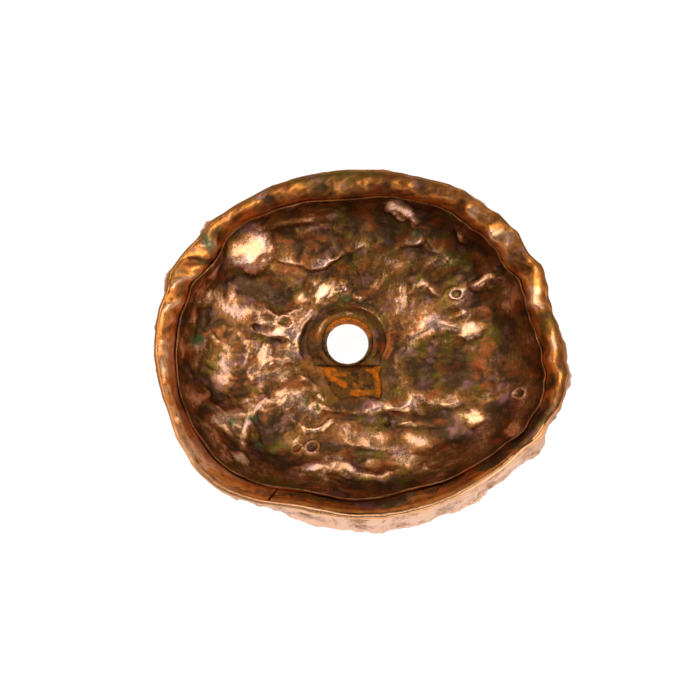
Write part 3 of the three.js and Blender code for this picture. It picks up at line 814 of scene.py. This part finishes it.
def buildShell(finish):
    section, free = shellSection()
    angles = np.linspace(0, fullTurn, shell["around"], endpoint=False)
    radius, height = section[:, :1], section[:, 1:]
    inside = np.arange(len(section))[:, None] >= len(section) - shell["insideRows"]
    # a groove runs under the lip along the front
    grooveAt, grooveWidth, grooveDepth = shell["grooveShape"]
    place = np.exp(-((height - grooveAt) / grooveWidth) ** 2) * (free[:, None] > 0)
    depth = place * np.clip(swellAt(angles, shell["groove"]), 0, 1) * -grooveDepth
    rows = turnedGrid(section, angles, (-leftNormals(section), depth))
    belt = smoothStep(height, *shell["tuckRise"]) * (1 - smoothStep(height, *shell["tuckFall"]))
    belt = belt * (radius > shell["tuckOutside"])
    drawIn(rows, angles, belt * swellAt(angles, shell["tucked"]))
    piece = gridMesh("outerShell", rows)
    paint(piece, "free", free[:, None] * (1 + swellAt(angles, shell["rougher"])))
    paint(piece, "band", smoothStep(height, *shell["lipBand"]) * ~inside + 0 * angles)
    # a painted sheen: the front wall painted pale, as a reflection of the white surroundings
    sheenShare = np.clip(swellAt(angles, shell["paintedSheen"]), 0, 1) * smoothStep(height, *shell["sheenFrom"])
    paint(piece, "paintedSheen", sheenShare)
    # painted shade: darker away from the front, darkest on the hidden inside
    paint(piece, "shade", -1.1 * (1 - sheenShare) - 1.5 * inside)
    sizes = {
        "Blow Size": shell["blowSize"] * mm,
        "Blow Depth": shell["blowDepth"] * mm,
        "Lump Size": shell["lumpSize"] * mm,
        "Lump Depth": shell["lumpDepth"] * mm,
        "Pits": shell["pitCount"] / mm / mm,
        "Pit Width": shell["pitWidth"] * mm,
        "Pit Depth": shell["pitDepth"] * mm,
        "Seed": shell["seed"],
    }
    return applyTree(piece, hammerTree(finish), sizes)


# The collar, its ferrule and the keeper plate
collar = {
    "around": 240,
    "base": 5.85,
    "top": 8.1,
    "inner": 6.3,
    "outer": 10.1,
    "crest": 7.9,
    "lumps": 0.42,
    "plateGap": 0.12,
    # where, how much, how wide in degrees: its reach, and its painted highlight and painted shade along
    # the crest
    "spread": [(-40, -1.5, 26), (5, -0.3, 20), (95, -0.5, 40), (178, 0.4, 30), (222, -1.3, 20)],
    "shades": [(142, 1.5, 26), (75, 0.5, 22), (200, -0.5, 40), (0, -0.3, 40), (300, 0.3, 20)],
}
ferrule = {
    "around": 160,
    "throat": (5.3, 5.0),  # radius and height of its narrowest place
    "mouth": 5.8,
    "flare": (5.8, 6.3),  # inner and outer radius of its top
    "outer": 6.1,
    "flange": 7.85,
    "heights": (1.9, 2.7, 6.9, 7.8),  # bottom, flange top, start of the flare, top
    "scale": 0.07,
    "step": 0.22,
    "orange": [(75, 1.4, 72)],  # fresh rust: where, how much, how wide in degrees
}
keeper = {
    "steps": (96, 56),
    "wall": 0.9,
    "corner": 4.6,
    "bay": 7.2,
    "scale": 0.32,
    "eaten": 0.8,
    # fresh orange rust: x, y, half length, half width, turn, amount
    "orange": [
        (-7.2, -3.5, 2.8, 1.0, -12, 1.1), (-4.8, -6.6, 3.0, 0.8, -36, 1.0),
        (3.3, -2.9, 1.7, 0.8, 0, 0.9), (0.0, -9.2, 4.5, 0.7, 5, 0.8), (-3.0, -3.0, 1.2, 0.5, 0, 0.6),
    ],
}


def collarEdge(turn):
    return collar["outer"] + swellAt(turn, collar["spread"])


def buildCollar():
    notch = boreCentre[1] - plateBox()[1].y - collar["plateGap"]  # from the bore's middle to the plate
    base, top, inner, outer = (collar[k] for k in ("base", "top", "inner", "outer"))
    dome = [(inner + 0.3, top - 0.7), (7.6, top - 0.4), (8.4, top - 1.3), (outer, base + 0.03)]
    line = np.vstack([
        [(inner, base), (inner, top - 1.2), (inner + 0.1, top - 0.7)],
        bezier(dome, 26),
        [(outer, base), (inner + 1.4, base)],
    ])
    radius = line[:, :1]
    height = line[:, 1:]
    # an open ring, cut square where the plate lies
    half = np.arccos(notch / radius)
    along = np.linspace(0, 1, collar["around"])[None, :]
    a = -math.pi / 2 + half + along * (fullTurn - 2 * half)
    lift = smoothStep(height, base + 0.2, top)
    spot = ringPoints(8, a, height)
    bump = collar["lumps"] * (noiseAt(spot, 4.5, 3, 41) + 0.4 * noiseAt(spot, 1.6, 2, 42)) * lift
    outwards = smoothStep(radius, inner + 0.8, outer)
    ends = smoothStep(np.minimum(along, 1 - along), 0.0, 0.06)
    reach = radius + outwards * (collarEdge(a) - outer) * ends + bump * ends * (1 - lift * 0.5)
    rows = ringPoints(reach, a, height + 0.7 * bump, boreCentre)
    piece = gridMesh("boreCollar", rows, closedRound=False)
    # painted highlight along the crest, strongest at the upper left, and painted shade round its outer
    # foot
    crest = np.exp(-((reach - collar["crest"] + 1.2 * bump) / 0.5) ** 2)
    wearAndPaintedLight = crest * (0.1 + swellAt(a, collar["shades"])) - 0.45 + bump
    paint(piece, "wearAndPaintedLight", wearAndPaintedLight - 0.35 * smoothStep(radius, outer - 0.9, outer))
    rust = (1 - smoothStep(radius - bump, inner, inner + 0.9)) * (0.35 + 0.5 * np.sin(a) ** 2)
    paint(piece, "rust", rust)
    return piece


def buildFerrule():
    bottom, flangeTop, flareStart, top = ferrule["heights"]
    line = np.array([
        (ferrule["mouth"], bottom),
        (ferrule["flange"], bottom),
        (ferrule["flange"], flangeTop),
        (ferrule["outer"], flangeTop),
        (ferrule["outer"], flareStart),
        (ferrule["flare"][1], top),
        (ferrule["flare"][0], top),
        ferrule["throat"],
    ])
    closed = np.vstack([line, line[:1]])
    fine = []
    for a, b in zip(closed[:-1], closed[1:]):
        steps = max(2, int(np.hypot(*(b - a)) / ferrule["step"]))
        fine.append(a + (b - a) * np.linspace(0, 1, steps, endpoint=False)[:, None])
    fine = np.vstack(fine)
    angles = np.linspace(0, fullTurn, ferrule["around"], endpoint=False)
    a = angles[None, :] + 0 * fine[:, :1]
    spot = ringPoints(fine[:, :1], a, fine[:, 1:])
    rough = ferrule["scale"] * noiseAt(spot, 1.1, 4, 51)
    rows = ringPoints(fine[:, :1] + rough, a, fine[:, 1:] + rough, boreCentre)
    piece = gridMesh("boreFerrule", rows)
    paint(piece, "fresh", swellAt(a, ferrule["orange"]) + 0.35 * noiseAt(spot, 2.0, 3, 52))
    paint(piece, "ochre", 0 * a)
    return piece


def buildKeeper():
    low, high = plateBox()
    countX, countY = keeper["steps"]
    u, v = np.meshgrid(np.linspace(0, 1, countX), np.linspace(0, 1, countY))
    x = low.x + (high.x - low.x) * u
    # the upper edge is pulled back round the ferrule
    bay = boreCentre[1] - np.sqrt(np.maximum(keeper["bay"] ** 2 - (x - boreCentre[0]) ** 2, 0))
    inBay = np.abs(x - boreCentre[0]) < keeper["bay"]
    upper = np.where(inBay, np.minimum(high.y, bay), high.y)
    y = low.y + (upper - low.y) * v
    spot = np.stack([x, y, 0 * x], -1)
    ragged = noiseAt(spot, 1.8, 4, 61)
    wide = noiseAt(spot, 4.5, 3, 62)
    edge = np.minimum.reduce([x - low.x, high.x - x, y - low.y, upper - y])
    rightRim = np.exp(-((high.x - 0.95 - x - 0.25 * wide) / 1.05) ** 2)
    # edges are eaten away, and the lower left corner is gone
    side = (1 - smoothStep(edge, 0.0, 2.6)) * (1 - 0.7 * rightRim)
    eaten = keeper["eaten"] * np.clip(0.3 + 0.4 * wide + 0.8 * ragged, 0, 1)
    x = x + (1 - u) * (1 - v) ** 1.5 * keeper["corner"]
    x = x + side * eaten * np.sign(low.x + high.x - 2 * x) * smoothStep(np.abs(u - 0.5), 0.3, 0.5)
    y = y + side * eaten * (0.5 - v) * 2
    thick = keeper["wall"] * smoothStep(edge, -0.05, 0.9 - 0.5 * rightRim)
    topSide = low.z + thick * (0.28 + 0.65 * rightRim + 0.5 * wide)
    topSide += keeper["scale"] * ragged * smoothStep(edge, 0.1, 0.8)
    topSide += 0.25 * np.exp(-ovalWindow(x, y, (low.x + 2.6, high.y - 1.4, 2.4, 1.2, -20)) ** 2)
    upperFace = np.stack([x, y, np.maximum(topSide, low.z + 0.05)], -1)
    lowerFace = np.stack([x, y, 0 * x + low.z], -1)
    index = np.arange(x.size).reshape(x.shape)
    faces = []
    for base, flip in ((0, False), (x.size, True)):
        a, b, c, d = index[:-1, :-1], index[:-1, 1:], index[1:, 1:], index[1:, :-1]
        quad = [a, d, c, b] if flip else [a, b, c, d]
        faces += (np.stack([q.ravel() for q in quad], -1) + base).tolist()
    ringIndex = np.r_[index[0, :-1], index[:-1, -1], index[-1, :0:-1], index[:0:-1, 0]]
    after = np.roll(ringIndex, -1)
    faces += np.stack([after, ringIndex, ringIndex + x.size, after + x.size], -1).tolist()
    points = np.concatenate([upperFace.reshape(-1, 3), lowerFace.reshape(-1, 3)])
    piece = addPiece("keeperPlate", points, faces)
    fresh = 0.9 * rightRim + 0.22 + 0.5 * wide
    for cx, cy, long, span, turn, amount in keeper["orange"]:
        fresh += amount * np.exp(-ovalWindow(x, y, (cx, cy, long, span, turn)) ** 2)
    fresh = np.clip(fresh + 0.35 * ragged + 0.2 * wide, 0, 1)
    ochre = 0.8 * np.exp(-((y - low.y - 1.4) / 1.2) ** 2) * u + 0.6 * wide
    paint(piece, "ochre", np.tile(ochre.ravel(), 2))
    paint(piece, "fresh", np.tile(fresh.ravel(), 2))
    return piece


# Finishes
copperLook = {
    "dark": (0.095, 0.046, 0.019, 1),
    "tan": (0.52, 0.22, 0.075, 1),
    "brown": (0.33, 0.124, 0.031, 1),
    "bright": (0.92, 0.46, 0.225, 1),
    "red": (0.38, 0.085, 0.022, 1),
    "cool": (0.82, 0.46, 0.36, 1),
    "olive": (0.18, 0.12, 0.014, 1),
    "lavender": (0.42, 0.17, 0.17, 1),
    "pale": (0.88, 0.51, 0.33, 1),
    "peach": (0.92, 0.47, 0.23, 1),
    "paintedGlint": (1.0, 0.64, 0.42, 1),
    "orange": (0.80, 0.27, 0.055, 1),
    "green": (0.07, 0.125, 0.035, 1),
    "rust": (0.34, 0.105, 0.008, 1),
    "roughness": (0.35, 0.46),
    # features a metre, detail and roughness of each pattern
    "mottle": (150, 7, 0.68),
    "hatch": (900, 3, 0.6),
    "fine": (1500, 3, 0.6),
    "speckle": (2800, 2, 0.6),
    "wrinkle": (480, 4, 0.55),
    "streaks": (1300, 3, 0.5),
    # brightness at which one colour has just begun and has just taken over
    "brownAt": (-1.0, 0.35),
    "brightAt": (0.3, 1.5),
    "orangeAt": (0.1, 1.1),
    "shineAt": (1.3, 2.1),
    "raisedAt": (0.1, 1.2),
    "lipAt": (-0.2, 1.3),
    # patches of the patina: where they begin and are whole, and how strong they are at each
    "oliveIn": (0.50, 0.64, 0, 0.75),
    "lavenderIn": (0.54, 0.68, 0, 0.45),
    "redIn": (0.48, 0.36, 0, 0.6),
    "coolIn": (0.47, 0.60, 0, 0.9),
    "stainIn": (0.38, 0.62, 0.35, 1),
}


def newMaterial(name):
    material = bpy.data.materials.new(name)
    material.use_nodes = True
    tree = material.node_tree
    shader = tree.nodes["Principled BSDF"]
    return material, tree, shader


def attributeNode(tree, name):
    return addNode(tree, "ShaderNodeAttribute", attribute_name=name).outputs["Fac"]


def noiseNode(tree, scale, detail, rough, stretch=None, coordinates=None):
    # scale is in features a metre
    if coordinates is None:
        coordinates = addNode(tree, "ShaderNodeTexCoord").outputs["Object"]
    if stretch:
        mapping = addNode(tree, "ShaderNodeMapping", {"Scale": stretch, "Vector": coordinates})
        coordinates = mapping.outputs[0]
    inputs = {"Scale": scale, "Detail": detail, "Roughness": rough, "Vector": coordinates}
    return addNode(tree, "ShaderNodeTexNoise", inputs).outputs[0]


def mixColour(tree, share, first, second):
    inputs = {0: share, 6: first, 7: second}  # the factor, A and B of its colour mode
    return addNode(tree, "ShaderNodeMix", inputs, data_type="RGBA").outputs[2]


def bumpNode(tree, shader, height, distance, strength):
    inputs = {"Distance": distance, "Strength": strength, "Height": height}
    bump = addNode(tree, "ShaderNodeBump", inputs)
    tree.links.new(bump.outputs[0], shader.inputs["Normal"])


def copperMaterial(name, shift=0.0, stains=(), outside=False, brushed=False,
                   mottled=1.0, grainy=0.3, specks=0.4, dull=0.0):
    material, tree, shader = newMaterial(name)
    look = copperLook
    # wear on raised parts, with painted shade and painted highlight added in the liner, strip and collar
    wearAndPaintedLight = attributeNode(tree, "wearAndPaintedLight")
    mottle = noiseNode(tree, *look["mottle"])
    hatch = noiseNode(tree, *look["hatch"], stretch=(1.7, 0.7, 1))
    fine = noiseNode(tree, *look["fine"])
    speckle = noiseNode(tree, *look["speckle"])

    def scaled(value, amount):
        return mathNode(tree, "MULTIPLY", mathNode(tree, "SUBTRACT", value, 0.5), amount)

    def summed(*values):
        total = values[0]
        for value in values[1:]:
            total = mathNode(tree, "ADD", total, value)
        return total

    high = summed(wearAndPaintedLight, scaled(mottle, 4.4 * mottled), scaled(hatch, 1.5 * mottled))
    high = summed(high, scaled(fine, 4.0 * grainy), shift)
    if outside:
        high = summed(high, attributeNode(tree, "shade"))
    if brushed:
        inputs = {0: attributeNode(tree, "streakX"), 1: attributeNode(tree, "streakY")}
        joined = addNode(tree, "ShaderNodeCombineXYZ", inputs)
        streaks = noiseNode(tree, *look["streaks"], coordinates=joined.outputs[0])
        high = summed(high, scaled(streaks, 1.7))
    colour = mixColour(tree, rampNode(tree, high, *look["brownAt"]), look["dark"], look["brown"])
    tone = noiseNode(tree, 150, 4, 0.6)
    colour = mixColour(tree, rampNode(tree, tone, *look["oliveIn"]), colour, look["olive"])
    tone = noiseNode(tree, 180, 4, 0.6, stretch=(1, 1.3, 0.8))
    colour = mixColour(tree, rampNode(tree, tone, *look["lavenderIn"]), colour, look["lavender"])
    colour = mixColour(tree, rampNode(tree, tone, *look["redIn"]), colour, look["red"])
    if outside:
        # paler where the front's painted sheen lies
        raised = mixColour(tree, attributeNode(tree, "paintedSheen"), look["tan"], look["pale"])
        colour = mixColour(tree, rampNode(tree, high, *look["raisedAt"]), colour, raised)
        edge = mixColour(tree, rampNode(tree, high, *look["lipAt"]), look["brown"], look["orange"])
        edge = mixColour(tree, attributeNode(tree, "paintedSheen"), edge, look["peach"])
        colour = mixColour(tree, attributeNode(tree, "band"), colour, edge)
    elif brushed:
        colour = mixColour(tree, rampNode(tree, high, *look["orangeAt"]), colour, look["orange"])
        colour = mixColour(tree, rampNode(tree, high, *look["shineAt"]), colour, look["bright"])
    else:
        bright = mixColour(tree, rampNode(tree, tone, *look["coolIn"]), look["bright"], look["cool"])
        colour = mixColour(tree, rampNode(tree, high, *look["brightAt"]), colour, bright)
    # a few painted glints, more where the surface is lighter, and a few dark specks
    lit = rampNode(tree, high, -0.2, 1.0, 0.0, 1.4 * specks)
    paintedGlint = mathNode(tree, "MULTIPLY", rampNode(tree, speckle, 0.55, 0.64), lit)
    colour = mixColour(tree, paintedGlint, colour, look["paintedGlint"])
    darkSpeck = mathNode(tree, "MULTIPLY", rampNode(tree, speckle, 0.46, 0.36), 0.8 * specks)
    colour = mixColour(tree, darkSpeck, colour, look["dark"])
    metal = None
    for stain in stains:
        patchy = rampNode(tree, mottle, *look["stainIn"])
        share = mathNode(tree, "MULTIPLY", attributeNode(tree, stain), patchy)
        colour = mixColour(tree, share, colour, look[stain])
        left = mathNode(tree, "SUBTRACT", 1, mathNode(tree, "MULTIPLY", share, 0.45))
        metal = left if metal is None else mathNode(tree, "MULTIPLY", metal, left)
    if outside:
        colour = mixColour(tree, attributeNode(tree, "pit"), colour, look["dark"])
    tree.links.new(colour, shader.inputs["Base Color"])
    shader.inputs["Metallic"].default_value = 1
    if metal is not None:
        tree.links.new(metal, shader.inputs["Metallic"])
    smooth, rougher = look["roughness"]
    rough = rampNode(tree, high, -0.5, 1.2, rougher + dull, smooth + dull)
    tree.links.new(mathNode(tree, "ADD", rough, scaled(speckle, 0.5)), shader.inputs["Roughness"])
    wrinkle = noiseNode(tree, *look["wrinkle"])
    grain = summed(scaled(fine, 0.42), scaled(speckle, 0.25), scaled(hatch, 0.25))
    grain = summed(grain, scaled(wrinkle, 0.6 * mottled))
    if brushed:
        grain = summed(grain, scaled(streaks, 0.12))
    bumpNode(tree, shader, grain, 0.0005, grainy)
    return material


rustLook = {
    "orange": (0.84, 0.22, 0.002, 1),
    "ochre": (0.42, 0.18, 0.020, 1),
    "umber": (0.34, 0.12, 0.010, 1),
    "dark": (0.12, 0.055, 0.008, 1),
    "black": (0.022, 0.012, 0.006, 1),
}


def rustMaterial(name):
    material, tree, shader = newMaterial(name)
    look = rustLook
    patch = noiseNode(tree, 620, 5, 0.65)
    crumbs = noiseNode(tree, 2600, 3, 0.6)
    fresh = rampNode(tree, attributeNode(tree, "fresh"), 0.30, 0.75)
    share = mathNode(tree, "MULTIPLY", fresh, rampNode(tree, patch, 0.36, 0.56, 0.3, 1))
    ochre = mathNode(tree, "MULTIPLY", rampNode(tree, attributeNode(tree, "ochre"), 0.1, 0.9), 0.75)
    base = mixColour(tree, rampNode(tree, crumbs, 0.42, 0.58), look["dark"], look["umber"])
    base = mixColour(tree, ochre, base, look["ochre"])
    base = mixColour(tree, rampNode(tree, patch, 0.48, 0.66, 0, 0.9), base, look["black"])
    colour = mixColour(tree, share, base, look["orange"])
    colour = mixColour(tree, rampNode(tree, crumbs, 0.53, 0.66, 0, 0.5), colour, look["dark"])
    tree.links.new(colour, shader.inputs["Base Color"])
    shader.inputs["Metallic"].default_value = 0.65
    tree.links.new(rampNode(tree, crumbs, 0.3, 0.7, 0.6, 0.95), shader.inputs["Roughness"])
    bumpNode(tree, shader, mathNode(tree, "ADD", crumbs, patch), 0.0004, 0.8)
    return material


def dress(piece, material, node):
    piece.data.materials.clear()  # the shell's tree has already set it
    piece.data.materials.append(material)
    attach(piece, "root")
    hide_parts(node)


linerCopper = copperMaterial("agedCopper", stains=("green", "rust"))
shellCopper = copperMaterial(
    "hammeredCopper", shift=0.9, outside=True, mottled=0.85, grainy=0.14, specks=0.05,
)
stripCopper = copperMaterial(
    "brushedCopper", shift=0.7, stains=("green",), brushed=True, mottled=0.36, grainy=0.1, specks=0.0,
)
collarCopper = copperMaterial("collarCopper", stains=("rust",), mottled=0.9, specks=0.2, dull=0.14)
ferruleRust = rustMaterial("ferruleRust")
keeperRust = rustMaterial("keeperRust")

dress(buildShell(shellCopper), shellCopper, "outer_shell")
print("outer shell hammered")
dress(buildLiner(), linerCopper, "inner_liner")
print("liner beaten")
dress(buildStrip(), stripCopper, "rim_strip")
dress(buildCollar(), collarCopper, "bore_collar")
dress(buildFerrule(), ferruleRust, "bore_ferrule")
dress(buildKeeper(), keeperRust, "keeper_plate")
print("strip, collar, ferrule and keeper plate made")

# Floor, lights and camera
studio = {
    "floorSize": 3.0,  # metres
    "floorGlow": 0.96,
    "horizon": 1.0,
    "overhead": 0.042,
    # soft boxes: turn from +X and height in degrees, distance and size in metres, watts
    "boxes": [
        (140, 52, 0.8, 0.32, 1.8),
        (-35, 45, 0.8, 0.30, 1.75),
        (80, 45, 0.8, 0.28, 1.0),
        (10, 48, 0.8, 0.28, 0.95),
        (185, 48, 0.8, 0.26, 0.9),
        (-80, 42, 0.8, 0.26, 0.7),
    ],
}


def buildFloor():
    mesh = bpy.data.meshes.new("floor")
    half = studio["floorSize"] / 2
    corners = [(-half, -half, 0), (half, -half, 0), (half, half, 0), (-half, half, 0)]
    mesh.from_pydata(corners, [], [(0, 1, 2, 3)])
    floor = addObject("floor", mesh)
    material, _, shader = newMaterial("paleFloor")
    shader.inputs["Base Color"].default_value = (0.12, 0.12, 0.12, 1)
    shader.inputs["Roughness"].default_value = 0.9
    shader.inputs["Emission Color"].default_value = (1, 1, 1, 1)
    shader.inputs["Emission Strength"].default_value = studio["floorGlow"]
    mesh.materials.append(material)


def buildWorld():
    world = bpy.data.worlds.new("studio")
    bpy.context.scene.world = world
    world.use_nodes = True
    tree = world.node_tree
    direction = addNode(tree, "ShaderNodeTexCoord").outputs["Generated"]
    split = addNode(tree, "ShaderNodeSeparateXYZ", {0: direction})
    height = rampNode(tree, split.outputs["Z"], 0.07, 0.34, studio["horizon"], studio["overhead"])
    tree.links.new(height, tree.nodes["Background"].inputs["Strength"])
    tree.nodes["Background"].inputs["Color"].default_value = (1, 1, 1, 1)


def placeLight(turn, height, distance, size, watts):
    data = bpy.data.lights.new("softBox", "AREA")
    data.shape = "SQUARE"
    data.size = size
    data.energy = watts
    lamp = addObject("softBox", data)
    t, h = math.radians(turn), math.radians(height)
    towards = Vector((math.cos(h) * math.cos(t), math.cos(h) * math.sin(t), math.sin(h)))
    lamp.location = distance * towards
    lamp.rotation_euler = (-lamp.location).to_track_quat("-Z", "Y").to_euler()


view = {
    "height": 78,  # degrees above the floor
    "lens": 135,
    "across": 0.1767,  # metres seen from side to side
    "aim": (-2.35, 0.6, 13.0),
}


def buildCamera():
    data = bpy.data.cameras.new("camera")
    data.lens = view["lens"]
    data.clip_start = 0.01
    camera = addObject("camera", data)
    h = math.radians(view["height"])
    back = Vector((0, -math.cos(h), math.sin(h)))
    distance = view["across"] * data.lens / data.sensor_width
    camera.location = Vector(view["aim"]) * mm + back * distance
    camera.rotation_euler = (-back).to_track_quat("-Z", "Y").to_euler()
    bpy.context.scene.camera = camera


buildFloor()
buildWorld()
for box in studio["boxes"]:
    placeLight(*box)
buildCamera()
bpy.context.scene.view_settings.view_transform = "Standard"
print("studio ready")
